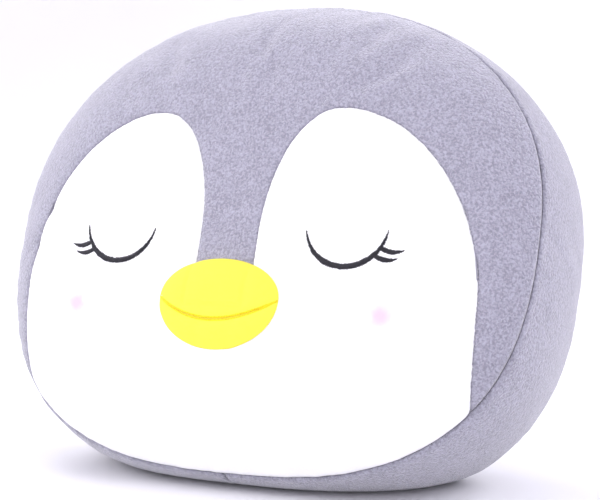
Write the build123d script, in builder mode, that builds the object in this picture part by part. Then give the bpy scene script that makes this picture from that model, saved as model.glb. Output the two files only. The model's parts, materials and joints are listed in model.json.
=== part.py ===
from build123d import *
from math import cos, pi, radians, sin
import os

os.makedirs("parts", exist_ok=True)

# ---------------------------------------------------------------------------
# Driving dimensions, in millimetres and degrees.
# A stuffed cushion in the shape of a penguin's head: a domed front sewn from a
# white face panel and a grey forehead panel, a grey side band all round, and a
# domed grey back panel. It leans back and rests on a flattened underside.
# ---------------------------------------------------------------------------

# Outline of the head at the front seam, measured from the widest level
head_half_width = 200.0
crown_height = 163.0
jaw_height = 175.0
crown_power = 2.17  # 2 is an ellipse, more is squarer
jaw_power = 2.69

# Depth of the head
dome_depth = 42.0  # how far the front and back panels stand out of their seams
dome_power = 5.66  # high: flat in the middle, falling away close to the seam
band_depth = 104.0
band_bulge = 6.0

# How the cushion sits
lean_angle = 19.0
front_seam_height = 12.0  # front seam above the resting face

# Fabric, thread and filling
plush_thickness = 2.0
thread_thickness = 0.6
thread_clearance = 0.1
filling_clearance = 1.0  # room for the seams between the plush and the filling
stitch_height = 0.8  # embroidery above the plush

# White face panel
cheek_width = 31.0  # grey left between the white panel and the side of the head
brow_height = 93.0  # grey left between the white lobes and the crown
lobe_spacing = 140.0  # between the tops of the two lobes
peak_width = 43.0  # grey peak that runs down between the lobes
lobe_inner_drop = 92.0  # top of a lobe down to the straight edge of the peak
lobe_outer_drop = 125.0  # top of a lobe down to its widest place
jaw_tuck = 5.0  # how far the white panel draws in below its widest place

# Beak
beak_half_width = 44.5
beak_rise = 27.0
beak_drop = 34.0
beak_level = -65.5  # widest level of the beak, from the widest level of the head
beak_depth = 10.0
beak_power = 3.2
beak_outline_power = 2.05
beak_plush_thickness = 1.5
mouth_drop = 16.0  # middle of the mouth below its corners
mouth_width = 3.2
mouth_recess = 0.6

# Closed eyes
eye_spacing = 170.0  # middle to middle
eye_half_width = 28.3
eye_level = -17.5  # height of the pointed ends of the eyelid
eyelid_drop = 25.0  # lower edge of the eyelid below its ends
eyelid_width = 3.8
lash_length = 14.0
lash_width = 2.8
lash_sag = 2.4  # middle of a lash below the line between its ends
lash_positions = (-34.0, -51.0)  # places on the eyelid, in degrees below the level of its circle
lash_slope = -4.0
backing_margin = 8.0

# Filling opening, sewn shut by hand, and the blank care label in the back seam
opening_length = 110.0
label_width = 22.0
label_length = 26.0
label_thickness = 0.5
label_angle = 205.0  # place on the back seam, counted from the head's right side

# ---------------------------------------------------------------------------
# Planes. Sketches on the seam planes have X to the right and Y up the face.
# ---------------------------------------------------------------------------

lean = radians(lean_angle)
front_seam = Plane(
    origin=(0, -band_depth / 2 * cos(lean), jaw_height * cos(lean) + front_seam_height),
    x_dir=(1, 0, 0),
    z_dir=(0, -cos(lean), sin(lean)),
)
back_seam = front_seam.offset(-band_depth)
face_front = front_seam.offset(dome_depth)

dome_shares = (1.0, 0.97, 0.92, 0.84, 0.72, 0.56, 0.4)
band_shares = (0.0, 0.25, 0.5, 0.75, 1.0)
half_outline_points = 13


# ---------------------------------------------------------------------------
# Shapes that several pieces share
# ---------------------------------------------------------------------------


def egg_point(half_width, rise, drop, rise_power, drop_power, angle):
    """Point of an egg-shaped outline, which is one superellipse above and one below."""
    height, power = (rise, rise_power) if sin(angle) >= 0 else (drop, drop_power)
    reach = (abs(cos(angle) / half_width) ** power + abs(sin(angle) / height) ** power) ** (-1 / power)
    return Vector(reach * cos(angle), reach * sin(angle))


def egg(plane, half_width, rise, drop, rise_power, drop_power, level=0.0):
    """Egg-shaped face on a plane, with its widest level at a height."""
    middle = Vector(0, level)
    right_side = [middle + Vector(0, rise)]
    for index in range(1, half_outline_points - 1):
        angle = pi / 2 - pi * index / (half_outline_points - 1)
        right_side.append(middle + egg_point(half_width, rise, drop, rise_power, drop_power, angle))
    right_side.append(middle - Vector(0, drop))
    with BuildSketch(plane) as outline:
        with BuildLine():
            Spline(*right_side, tangents=((1, 0), (-1, 0)))
            mirror(about=Plane.YZ)
        make_face()
    return outline.sketch


def head_outline(plane, inset, share=1.0):
    """Head outline, smaller by inset all round, scaled to a share of that."""
    return egg(
        plane,
        share * (head_half_width - inset),
        share * (crown_height - inset),
        share * (jaw_height - inset),
        crown_power,
        jaw_power,
    )


def dome(seam, inset, direction):
    """Domed end of the head, from its seam plane, forwards for 1 and backwards for -1."""
    height = direction * (dome_depth - inset)
    with BuildPart() as solid:
        for share in dome_shares:
            add(head_outline(seam.offset(height * (1 - share**dome_power)), inset, share))
        loft()
    return solid.part


def cushion(inset):
    """The whole head as one closed solid, smaller by inset, with its flat underside."""
    with BuildPart() as band:
        for share in band_shares:
            bulge = band_bulge * 4 * share * (1 - share)
            add(head_outline(front_seam.offset(-band_depth * share), inset - bulge))
        loft()
    with BuildPart() as whole:
        add(dome(front_seam, inset, 1))
        add(band.part)
        add(dome(back_seam, inset, -1))
        split(bisect_by=Plane.XY.offset(inset), keep=Keep.TOP)
    return whole.part


def face_layer(outside, inside):
    """Layer of the front dome between two insets."""
    with BuildPart() as layer:
        add(dome(front_seam, outside, 1))
        add(dome(front_seam, inside, 1), mode=Mode.SUBTRACT)
    return layer.part


def seam_ring(seam):
    """Thread that runs round a seam on the band's side, flattened over the resting face."""
    with BuildPart() as hole:
        add(head_outline(seam.offset(-thread_thickness), thread_inset + thread_thickness))
        extrude(amount=3 * thread_thickness, dir=front_seam.z_dir)
        split(bisect_by=Plane.XY.offset(thread_inset + thread_thickness), keep=Keep.TOP)
    with BuildPart() as ring:
        add(head_outline(seam, thread_inset))
        extrude(amount=thread_thickness, dir=front_seam.z_dir)
        split(bisect_by=Plane.XY.offset(thread_inset), keep=Keep.TOP)
        add(hole.part, mode=Mode.SUBTRACT)
    return ring.part


def prism(sketch):
    """Endless bar through the front of the head, with a sketch as its section."""
    with BuildPart() as bar:
        add(sketch)
        extrude(amount=band_depth + dome_depth, dir=front_seam.z_dir)
    return bar.part


def beak_shape(inset):
    """Padded beak as one solid, smaller by inset, with its root inside the face."""
    height = beak_depth - inset
    with BuildPart() as shape:
        for share in dome_shares:
            plane = face_front.offset(height * (1 - share**beak_power))
            add(
                egg(
                    plane,
                    share * (beak_half_width - inset),
                    share * (beak_rise - inset),
                    share * (beak_drop - inset),
                    beak_outline_power,
                    beak_outline_power,
                    beak_level,
                )
            )
        loft()
        add(
            egg(
                face_front,
                beak_half_width - inset,
                beak_rise - inset,
                beak_drop - inset,
                beak_outline_power,
                beak_outline_power,
                beak_level,
            )
        )
        extrude(amount=dome_depth / 3, dir=-front_seam.z_dir)
    return shape.part


def finish(piece, name):
    """Names a piece and writes it."""
    piece.part.label = name
    export_step(piece.part, f"parts/{name}.step")


# ---------------------------------------------------------------------------
# Nested shapes: outside and inside of the plush, and thin layers of the face
# ---------------------------------------------------------------------------

outer = cushion(0)
inner = cushion(plush_thickness)
thread_inset = plush_thickness + thread_clearance
stitch_layer = face_layer(-stitch_height, 0)
seam_layer = face_layer(thread_inset, thread_inset + thread_thickness)

with BuildPart() as plush_layer:
    add(outer)
    add(inner, mode=Mode.SUBTRACT)

# ---------------------------------------------------------------------------
# White face panel and grey forehead panel
# ---------------------------------------------------------------------------

lobe_centre = lobe_spacing / 2
lobe_top = crown_height - brow_height
lobe_side = head_half_width - cheek_width
inner_level = lobe_top - lobe_inner_drop
outer_level = lobe_top - lobe_outer_drop
peak_side = peak_width / 2
peak_level = beak_level + peak_side  # the round end of the peak lies under the beak
jaw_side = lobe_side - jaw_tuck
below_jaw = -2 * jaw_height



def face_region(grow):
    """Region of the white panel on the front seam plane, wider by grow at its edge."""
    with BuildSketch(front_seam) as region:
        with BuildLine():
            CenterArc((0, peak_level), peak_side - grow, start_angle=270, arc_size=90)
            Line((peak_side - grow, peak_level), (peak_side - grow, inner_level))
            EllipticalCenterArc(
                (lobe_centre, inner_level),
                lobe_centre - peak_side + grow,
                lobe_inner_drop + grow,
                start_angle=180,
                arc_size=-90,
            )
            EllipticalCenterArc(
                (lobe_centre, outer_level),
                lobe_side - lobe_centre + grow,
                lobe_outer_drop + grow,
                start_angle=90,
                arc_size=-90,
            )
            Spline(
                (lobe_side + grow, outer_level),
                (jaw_side + grow, -jaw_height),
                tangents=((0, -1), (0, -1)),
            )
            Line((jaw_side + grow, -jaw_height), (jaw_side + grow, below_jaw))
            Line((jaw_side + grow, below_jaw), (0, below_jaw))
            mirror(about=Plane.YZ)
        make_face()
    return region.sketch


with BuildPart() as front_skin:
    add(plush_layer.part)
    split(bisect_by=front_seam, keep=Keep.TOP)

with BuildPart() as face_panel:
    add(front_skin.part)
    add(prism(face_region(0)), mode=Mode.INTERSECT)
finish(face_panel, "face_panel")

with BuildPart() as forehead_panel:
    add(front_skin.part)
    add(prism(face_region(0)), mode=Mode.SUBTRACT)
finish(forehead_panel, "forehead_panel")

# ---------------------------------------------------------------------------
# Side band in two lengths, joined at the crown and under the jaw, and back panel
# ---------------------------------------------------------------------------

for side_name, kept_side in (("left", Keep.BOTTOM), ("right", Keep.TOP)):
    with BuildPart() as side_band:
        add(plush_layer.part)
        split(bisect_by=front_seam, keep=Keep.BOTTOM)
        split(bisect_by=back_seam, keep=Keep.TOP)
        split(bisect_by=Plane.YZ, keep=kept_side)
    finish(side_band, f"side_band_{side_name}")

with BuildPart() as back_panel:
    add(plush_layer.part)
    split(bisect_by=back_seam, keep=Keep.BOTTOM)
finish(back_panel, "back_panel")

# ---------------------------------------------------------------------------
# Seam threads, on the inside of the plush
# ---------------------------------------------------------------------------

front_ring = seam_ring(front_seam.offset(-thread_thickness))
with BuildPart() as front_seam_thread:
    for side, kept_side in ((1, Keep.TOP), (-1, Keep.BOTTOM)):
        run_start = Plane.YZ.offset(side * thread_clearance)
        split(front_ring, bisect_by=run_start, keep=kept_side, mode=Mode.ADD)
finish(front_seam_thread, "front_seam_thread")

with BuildPart() as opening_region:
    with BuildSketch(back_seam):
        with Locations((-head_half_width / 2, crown_height)):
            Rectangle(opening_length, 2 * crown_height)
    extrude(amount=band_depth / 4, both=True)

with BuildPart() as back_seam_thread:
    add(seam_ring(back_seam))
    add(opening_region.part, mode=Mode.SUBTRACT)
finish(back_seam_thread, "back_seam_thread")

with BuildPart() as closing_thread:
    add(seam_ring(back_seam))
    add(opening_region.part, mode=Mode.INTERSECT)
finish(closing_thread, "closing_thread")


def band_middle(inset):
    """Section of the band on the head's middle plane, between the two seam threads."""
    front = thread_thickness + thread_clearance
    back = band_depth - front
    top = crown_height - inset
    bottom = -jaw_height + inset
    side_plane = Plane(origin=front_seam.origin, x_dir=-front_seam.z_dir, z_dir=(1, 0, 0))
    with BuildSketch(side_plane.offset(-thread_thickness / 2)) as section:
        with BuildLine():
            ThreePointArc((front, top), (band_depth / 2, top + band_bulge), (back, top))
            Line((back, top), (back, bottom))
            ThreePointArc((back, bottom), (band_depth / 2, bottom - band_bulge), (front, bottom))
            Line((front, bottom), (front, top))
        make_face()
    with BuildPart() as plate:
        add(section.sketch)
        extrude(amount=thread_thickness, dir=side_plane.z_dir)
        split(bisect_by=Plane.XY.offset(inset), keep=Keep.TOP)
    return plate.part


with BuildPart() as band_join_threads:
    add(band_middle(thread_inset))
    add(band_middle(thread_inset + thread_thickness), mode=Mode.SUBTRACT)
finish(band_join_threads, "band_join_threads")

with BuildPart() as face_seam_thread:
    add(seam_layer)
    add(prism(face_region(thread_thickness / 2)), mode=Mode.INTERSECT)
    add(prism(face_region(-thread_thickness / 2)), mode=Mode.SUBTRACT)
finish(face_seam_thread, "face_seam_thread")

# ---------------------------------------------------------------------------
# Blank care label, caught in the back seam and standing out behind it
# ---------------------------------------------------------------------------


def seam_point(degrees):
    """Point of the back seam at an angle round the head."""
    angle = radians(degrees)
    point = egg_point(
        head_half_width, crown_height, jaw_height, crown_power, jaw_power, angle
    )
    return back_seam.from_local_coords(point)


label_along = seam_point(label_angle + 1) - seam_point(label_angle - 1)
label_plane = Plane(
    origin=seam_point(label_angle),
    x_dir=label_along,
    z_dir=label_along.cross(front_seam.z_dir),
)

with BuildPart() as care_label:
    with BuildSketch(label_plane):
        Rectangle(label_width, 2 * label_length)
    extrude(amount=-label_thickness)
    split(bisect_by=back_seam, keep=Keep.BOTTOM)
    add(outer, mode=Mode.SUBTRACT)
finish(care_label, "care_label")

# ---------------------------------------------------------------------------
# Embroidered closed eyes: eyelid, two lashes and the backing behind them
# ---------------------------------------------------------------------------

eyelid_sag = eyelid_drop - eyelid_width / 2
eyelid_radius = (eye_half_width**2 + eyelid_sag**2) / (2 * eyelid_sag)
eyelid_centre_level = eye_level - eyelid_sag + eyelid_radius


def lash(start_angle):
    """Leaf-shaped lash of a right eye, from the eyelid outwards, sagging in the middle."""
    start_x = eye_spacing / 2 + eyelid_radius * cos(radians(start_angle))
    start_y = eyelid_centre_level + eyelid_radius * sin(radians(start_angle))
    end_x = start_x + lash_length * cos(radians(lash_slope))
    end_y = start_y + lash_length * sin(radians(lash_slope))
    middle_x = (start_x + end_x) / 2
    middle_y = (start_y + end_y) / 2 - lash_sag
    with BuildSketch() as leaf:
        with BuildLine():
            ThreePointArc((start_x, start_y), (middle_x, middle_y + lash_width / 2), (end_x, end_y))
            ThreePointArc((start_x, start_y), (middle_x, middle_y - lash_width / 2), (end_x, end_y))
        make_face()
    return leaf.sketch


with BuildSketch() as eyelid_shape:
    with BuildLine():
        eye_left = (eye_spacing / 2 - eye_half_width, eye_level)
        eye_right = (eye_spacing / 2 + eye_half_width, eye_level)
        ThreePointArc(eye_left, (eye_spacing / 2, eye_level - eyelid_drop), eye_right)
        ThreePointArc(eye_left, (eye_spacing / 2, eye_level - eyelid_drop + eyelid_width), eye_right)
    make_face()

with BuildSketch() as backing_shape:
    with Locations((eye_spacing / 2 + lash_length / 4, eye_level - eyelid_drop / 2)):
        Ellipse(
            eye_half_width + lash_length / 2 + backing_margin,
            eyelid_drop / 2 + backing_margin,
        )


def on_face(shape, mirrored):
    """Puts a shape of the right eye on the front seam plane, on its own or on the left side."""
    with BuildSketch(front_seam) as placed:
        add(shape)
        if mirrored:
            mirror(about=Plane.YZ, mode=Mode.REPLACE)
    return placed.sketch


for side_name, mirrored in (("left", True), ("right", False)):
    with BuildPart() as eyelid:
        add(stitch_layer)
        add(prism(on_face(eyelid_shape.sketch, mirrored)), mode=Mode.INTERSECT)
    finish(eyelid, f"{side_name}_eyelid_stitching")

    with BuildPart() as lashes:
        for position in lash_positions:
            add(prism(on_face(lash(position), mirrored)))
        add(stitch_layer, mode=Mode.INTERSECT)
        add(eyelid.part, mode=Mode.SUBTRACT)
    finish(lashes, f"{side_name}_lash_stitching")

    with BuildPart() as backing:
        add(seam_layer)
        add(prism(on_face(backing_shape.sketch, mirrored)), mode=Mode.INTERSECT)
    finish(backing, f"{side_name}_eye_backing")

# ---------------------------------------------------------------------------
# Beak: upper and lower cover over one padding, with the mouth stitched between
# ---------------------------------------------------------------------------

beak_outside = beak_shape(0)
beak_inside = beak_shape(beak_plush_thickness)
beak_recessed = beak_shape(mouth_recess)

mouth_radius = (beak_half_width**2 + mouth_drop**2) / (2 * mouth_drop)
mouth_half_width = beak_half_width + mouth_width
mouth_end_level = beak_level - mouth_drop + mouth_radius - (mouth_radius**2 - mouth_half_width**2) ** 0.5
above_beak = beak_level + 2 * beak_rise

with BuildLine() as mouth_line:
    ThreePointArc(
        (-mouth_half_width, mouth_end_level),
        (0, beak_level - mouth_drop),
        (mouth_half_width, mouth_end_level),
    )

with BuildSketch(front_seam) as mouth_strip:
    add(mouth_line.line)
    trace(line_width=mouth_width)

with BuildSketch(front_seam) as upper_region:
    with BuildLine():
        add(mouth_line.line)
        Polyline(
            (mouth_half_width, mouth_end_level),
            (mouth_half_width, above_beak),
            (-mouth_half_width, above_beak),
            (-mouth_half_width, mouth_end_level),
        )
    make_face()

with BuildPart() as beak_shell:
    add(beak_outside)
    add(beak_inside, mode=Mode.SUBTRACT)
    add(outer, mode=Mode.SUBTRACT)
    add(prism(mouth_strip.sketch), mode=Mode.SUBTRACT)

with BuildPart() as beak_upper_cover:
    add(beak_shell.part)
    add(prism(upper_region.sketch), mode=Mode.INTERSECT)
finish(beak_upper_cover, "beak_upper_cover")

with BuildPart() as beak_lower_cover:
    add(beak_shell.part)
    add(prism(upper_region.sketch), mode=Mode.SUBTRACT)
finish(beak_lower_cover, "beak_lower_cover")

with BuildPart() as mouth_stitching:
    add(beak_recessed)
    add(beak_inside, mode=Mode.SUBTRACT)
    add(outer, mode=Mode.SUBTRACT)
    add(prism(mouth_strip.sketch), mode=Mode.INTERSECT)
finish(mouth_stitching, "mouth_stitching")

with BuildPart() as beak_padding:
    add(beak_inside)
    add(outer, mode=Mode.SUBTRACT)
finish(beak_padding, "beak_padding")

# ---------------------------------------------------------------------------
# Fibre filling, with room for the seams and the backings all round
# ---------------------------------------------------------------------------

with BuildPart() as fibre_filling:
    add(cushion(plush_thickness + filling_clearance))
finish(fibre_filling, "fibre_filling")
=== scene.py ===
import json
from math import cos, pi, radians, sin, sqrt

import bmesh
import bpy
import numpy as np
from bpy.props import FloatProperty, FloatVectorProperty, PointerProperty
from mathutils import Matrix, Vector, kdtree, noise
from mathutils.bvhtree import BVHTree

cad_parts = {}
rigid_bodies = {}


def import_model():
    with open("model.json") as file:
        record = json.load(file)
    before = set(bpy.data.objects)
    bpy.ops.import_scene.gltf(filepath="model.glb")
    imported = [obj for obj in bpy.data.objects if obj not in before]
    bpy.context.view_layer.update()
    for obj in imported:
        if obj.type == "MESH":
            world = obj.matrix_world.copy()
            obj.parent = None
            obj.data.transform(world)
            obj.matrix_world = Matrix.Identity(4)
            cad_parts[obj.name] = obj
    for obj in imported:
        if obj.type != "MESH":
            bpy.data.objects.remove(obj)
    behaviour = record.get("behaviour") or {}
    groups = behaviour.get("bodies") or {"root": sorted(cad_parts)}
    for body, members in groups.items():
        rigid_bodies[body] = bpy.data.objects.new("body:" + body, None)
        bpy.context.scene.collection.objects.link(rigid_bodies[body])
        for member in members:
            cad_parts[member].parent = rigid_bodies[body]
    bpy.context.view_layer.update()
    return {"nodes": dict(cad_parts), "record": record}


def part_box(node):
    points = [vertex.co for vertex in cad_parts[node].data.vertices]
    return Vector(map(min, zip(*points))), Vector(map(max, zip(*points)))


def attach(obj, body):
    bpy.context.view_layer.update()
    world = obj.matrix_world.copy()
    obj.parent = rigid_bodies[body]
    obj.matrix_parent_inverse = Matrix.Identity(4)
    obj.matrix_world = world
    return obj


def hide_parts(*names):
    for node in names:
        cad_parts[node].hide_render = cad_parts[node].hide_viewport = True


bl_info = {
    "name": "Plush penguin cushion",
    "version": (1, 0, 0),
    "blender": (4, 5, 0),
    "location": "View3D > Sidebar > Cushion",
    "description": "Sews the plush skin, beak, eyes and label of a penguin head cushion round its CAD frame",
    "category": "Object",
}

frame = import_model()
MM = 0.001
DARKEST_CURVED_LEVEL = 10  # display levels up to this one are in proportion to the light

# Highest, lowest and widest places of the skin in the CAD frame
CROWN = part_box("forehead_panel")[1]
JAW_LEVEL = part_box("face_panel")[0].z
BACK_CROWN_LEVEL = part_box("back_panel")[1].z


def rgb(red, green, blue):
    """Display colour from 0 to 255, as the linear colour that shaders take."""
    return tuple(linear(level) for level in (red, green, blue))


def linear(level):
    if level > DARKEST_CURVED_LEVEL:
        return ((level / 255 + 0.055) / 1.055) ** 2.4
    return level / 255 / 12.92


def colour(name, description, *levels):
    return FloatVectorProperty(
        name=name, description=description, subtype="COLOR", size=3, min=0, max=1, default=rgb(*levels)
    )


def length(name, description, millimetres):
    return FloatProperty(name=name, description=description, unit="LENGTH", default=millimetres * MM)


def angle_of(name, description, degrees):
    return FloatProperty(name=name, description=description, subtype="ANGLE", default=radians(degrees))


def part_of(name, description, part):
    return FloatProperty(name=name, description=description, subtype="FACTOR", default=part)


def number(name, description, default):
    return FloatProperty(name=name, description=description, default=default)


# ---------------------------------------------------------------------------
# Sizes and colours
# ---------------------------------------------------------------------------


class HeadSizes(bpy.types.PropertyGroup):
    lean: angle_of("Lean", "How far the face leans back", 19)
    crown_share: part_of("Crown share", "Part of the head's height above its widest level", 163 / 338)
    crown_power: number("Crown power", "Squareness of the crown, 2 for an ellipse", 2.17)
    jaw_power: number("Jaw power", "Squareness of the jaw, 2 for an ellipse", 2.69)
    dome_depth: length("Dome depth", "How far the front and back stand out of their seams", 42)
    dome_power: number("Dome power", "Flatness of the middle of the domes", 5.66)
    band_bulge: length("Band bulge", "How far the side band bulges between its seams", 8.5)
    plush: length("Plush thickness", "Backing cloth and pile together", 2)
    contact: length("Contact radius", "Rounding where the cushion meets what it rests on", 3)
    seam_depth: length("Seam depth", "How deep a sewn seam sinks between its rolled edges", 1.5)
    seam_width: length("Seam width", "Half width of a seam's groove", 1.2)
    face_seam_depth: length("Face seam depth", "How deep the seam round the white panel sinks", 1.0)
    pucker: length("Pucker", "Height of the small gathers beside the front and back seams", 0.7)


class FaceSizes(bpy.types.PropertyGroup):
    lobe_centre: length("Lobe centre", "From the middle of the face to the top of a white lobe", 70)
    lobe_top: length("Lobe top", "Top of a white lobe above the widest level", 68)
    lobe_side: length("Lobe side", "From the middle of the face to the widest place of the white", 170.5)
    peak_side: length("Peak side", "Half width of the grey peak between the lobes", 21.5)
    inner_drop: length("Inner drop", "From a lobe's top down to the straight side of the peak", 92)
    outer_drop: length("Outer drop", "From a lobe's top down to its widest place", 125)
    inner_power: number("Inner power", "Squareness of a lobe's inner shoulder", 2.1)
    outer_power: number("Outer power", "Squareness of a lobe's outer shoulder", 1.9)
    jaw_tuck: length("Jaw tuck", "How far the white draws in from its widest place to the seam", 5)
    ragged: length("Ragged edge", "How far the pile wanders across the seam of the white panel", 0.35)
    blush_side: length("Blush side", "From the middle of the face to a pink cheek", 114)
    blush_level: length("Blush level", "Height of the pink cheeks, from the widest level", -71.5)
    blush_radius: length("Blush radius", "Where a pink cheek has faded out", 13.5)


class EyeSizes(bpy.types.PropertyGroup):
    radius: length("Lid radius", "Radius of the closed lid's curve", 28.3)
    lid_width: length("Lid width", "Width of the satin stitching at the thickest place of a lid", 4.3)
    lash_length: length("Lash length", "From the lid to the tip of a lash", 16)
    lash_width: length("Lash width", "Width of a lash at its middle", 4.0)
    lash_sag: length("Lash sag", "How far the middle of a lash hangs below the line between its ends", 2.0)
    upper_lash: angle_of("Upper lash", "Place of the upper lash on the lid", -32)
    lower_lash: angle_of("Lower lash", "Place of the lower lash on the lid", -45)
    thread: length("Thread", "Thickness of the embroidery thread", 0.5)
    lift: length("Lift", "How far the satin stitching stands above the pile", 0.9)


class BeakSizes(bpy.types.PropertyGroup):
    height: length("Beak height", "How far the padded beak stands out of the face", 10)
    rise_share: part_of("Rise share", "Part of the beak that is above its corners", 27 / 61)
    power: number("Beak power", "Flatness of the middle of the beak", 2.6)
    mouth_drop: length("Mouth drop", "Middle of the mouth below its corners", 15.5)
    mouth_depth: length("Mouth depth", "How deep the mouth sinks between the lips", 1.8)
    lip_radius: length("Lip radius", "Rounding of the lips beside the mouth", 3.0)
    stitch_width: length("Stitch width", "Width of each of the two rows of gold stitching", 1.25)


class Colours(bpy.types.PropertyGroup):
    grey: colour("Grey plush", "Pile of the forehead, side band and back", 161, 159, 174)
    white: colour("White plush", "Pile of the face panel", 247, 246, 249)
    yellow: colour("Yellow plush", "Pile of the beak", 255, 238, 84)
    gold: colour("Gold thread", "Stitching of the mouth", 255, 216, 8)
    black: colour("Black thread", "Stitching of the eyes", 16, 14, 26)
    pink: colour("Blush", "Pink of the cheeks", 252, 172, 192)


class StageSizes(bpy.types.PropertyGroup):
    azimuth: angle_of("Azimuth", "Camera round the cushion", 25.87)
    elevation: angle_of("Elevation", "Camera above the level", 2.71)
    distance: length("Distance", "Camera to the point that it looks at", 936.5)
    lens: number("Lens", "Focal length in millimetres", 81.85)
    aim_right: length("Aim to the right", "Point looked at, to the right of the head's middle", 29.6)
    aim_drop: length("Aim below", "Point looked at, below the head's middle", 18.2)


# ---------------------------------------------------------------------------
# The head's own frame: X to the viewer's right, Y into it, Z up the face,
# from the middle of the front seam at the head's widest level
# ---------------------------------------------------------------------------

HEAD = {}


def head():
    """Sizes of the head, from its properties and the CAD frame."""
    if not HEAD:
        HEAD.update(measure_head(bpy.context.scene.cushion_head))
    return HEAD


def measure_head(sizes):
    height = (CROWN.z - JAW_LEVEL) / cos(sizes.lean)
    crown = sizes.crown_share * height
    jaw = height - crown
    return {
        "half_width": CROWN.x,
        "crown": crown,
        "jaw": jaw,
        "band": (CROWN.z - BACK_CROWN_LEVEL) / sin(sizes.lean),
        "middle": np.array([0, CROWN.y - crown * sin(sizes.lean), CROWN.z - crown * cos(sizes.lean)]),
        "turn": np.array(
            [[1, 0, 0], [0, cos(sizes.lean), sin(sizes.lean)], [0, -sin(sizes.lean), cos(sizes.lean)]]
        ),
    }


def to_world(points):
    place = head()
    return np.asarray(points, float) @ place["turn"].T + place["middle"]


def to_head(points):
    place = head()
    return (np.asarray(points, float) - place["middle"]) @ place["turn"]


def outline_reach(angle):
    """Distance from the head's middle to its seams, in a direction across the face."""
    sizes, place = bpy.context.scene.cushion_head, head()
    above = np.sin(angle) >= 0
    height = np.where(above, place["crown"], place["jaw"])
    power = np.where(above, sizes.crown_power, sizes.jaw_power)
    across, up = np.abs(np.cos(angle)) / place["half_width"], np.abs(np.sin(angle)) / height
    return (across**power + up**power) ** (-1 / power)


# ---------------------------------------------------------------------------
# Objects and meshes
# ---------------------------------------------------------------------------


def activate(*pieces):
    """Selects these pieces and no other, with the first one active."""
    for other in bpy.context.view_layer.objects:
        other.select_set(False)
    for piece in pieces:
        piece.select_set(True)
    bpy.context.view_layer.objects.active = pieces[0]


def new_piece(name, points, faces):
    """Mesh object at the origin, with its place in its mesh."""
    mesh = bpy.data.meshes.new(name)
    mesh.from_pydata([tuple(p) for p in points], [], [tuple(f) for f in faces])
    piece = bpy.data.objects.new(name, mesh)
    bpy.context.scene.collection.objects.link(piece)
    return piece


def coordinates(mesh):
    flat = np.zeros(len(mesh.vertices) * 3, np.float32)
    mesh.vertices.foreach_get("co", flat)
    return flat.reshape(-1, 3).astype(float)


def normals(mesh):
    flat = np.zeros(len(mesh.vertices) * 3, np.float32)
    mesh.vertex_normals.foreach_get("vector", flat)
    return flat.reshape(-1, 3).astype(float)


def place_points(mesh, points):
    mesh.vertices.foreach_set("co", np.asarray(points, np.float32).ravel())
    mesh.update()


def apply_modifiers(piece):
    activate(piece)
    for modifier in list(piece.modifiers):
        bpy.ops.object.modifier_apply(modifier=modifier.name)


def face_outwards(piece, merged=0.0):
    """Merges points that are closer than a distance, and turns every face outwards."""
    activate(piece)
    bpy.ops.object.mode_set(mode="EDIT")
    bpy.ops.mesh.select_all(action="SELECT")
    if merged:
        bpy.ops.mesh.remove_doubles(threshold=merged)
    bpy.ops.mesh.normals_make_consistent(inside=False)
    bpy.ops.object.mode_set(mode="OBJECT")


def search_tree(*names):
    """Search tree of the surfaces of some pieces."""
    points, faces = [], []
    for name in names:
        mesh, shift = bpy.data.objects[name].data, len(points)
        points += [v.co.copy() for v in mesh.vertices]
        faces += [tuple(shift + i for i in p.vertices) for p in mesh.polygons]
    return BVHTree.FromPolygons(points, faces)


def finish_piece(piece, material, replaced):
    """Smooth shading and material, then parents the piece to the root body and hides the CAD parts that it
    replaces.
    """
    piece.data.materials.clear()
    piece.data.materials.append(material)
    piece.data.polygons.foreach_set("material_index", [0] * len(piece.data.polygons))
    piece.data.shade_smooth()
    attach(piece, "root")
    if replaced:
        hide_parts(*replaced)
    return piece


def soft_noise(points, size, seed):
    """Smooth noise from -1 to 1, over a length."""
    shift = Vector((seed * 3.7, seed * 1.3, seed * 2.1))
    return np.array([noise.noise(Vector(p) / size + shift) for p in points])


# ---------------------------------------------------------------------------
# Materials
# ---------------------------------------------------------------------------

PATCH_SIZE = 16 * MM
TUFT_SIZE = 1.6 * MM
HAIR_SIZE = 0.7 * MM
PILE_HEIGHT = 1.6 * MM
BLUSH_WANDER = 1.2 * MM
BLUSH_STRENGTH = 0.72


def new_material(name):
    material = bpy.data.materials.new(name)
    material.use_nodes = True
    tree = material.node_tree
    shader = tree.nodes["Principled BSDF"]
    place = tree.nodes.new("ShaderNodeTexCoord").outputs["Object"]
    return material, tree, shader, place


def add_noise(tree, place, size, detail=2.0, roughness=0.5, distortion=0.0):
    """Noise with lumps of about the given size, in metres."""
    node = tree.nodes.new("ShaderNodeTexNoise")
    node.inputs["Scale"].default_value = 1 / size
    node.inputs["Detail"].default_value = detail
    node.inputs["Roughness"].default_value = roughness
    node.inputs["Distortion"].default_value = distortion
    tree.links.new(place, node.inputs["Vector"])
    return node.outputs["Fac"]


def add_range(tree, value, low, high, to_low, to_high, smooth=False):
    node = tree.nodes.new("ShaderNodeMapRange")
    node.interpolation_type = "SMOOTHSTEP" if smooth else "LINEAR"
    for socket, level in zip(("From Min", "From Max", "To Min", "To Max"), (low, high, to_low, to_high)):
        node.inputs[socket].default_value = level
    tree.links.new(value, node.inputs["Value"])
    return node.outputs["Result"]


def add_math(tree, operation, first, second):
    node = tree.nodes.new("ShaderNodeMath")
    node.operation = operation
    for socket, value in zip(node.inputs, (first, second)):
        if isinstance(value, (int, float)):
            socket.default_value = value
        else:
            tree.links.new(value, socket)
    return node.outputs[0]


def add_blend(tree, first, second, second_share):
    """Sum of two patterns, in shares that add up to one."""
    kept = add_math(tree, "MULTIPLY", first, 1 - second_share)
    added = add_math(tree, "MULTIPLY", second, second_share)
    return add_math(tree, "ADD", kept, added)


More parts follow.
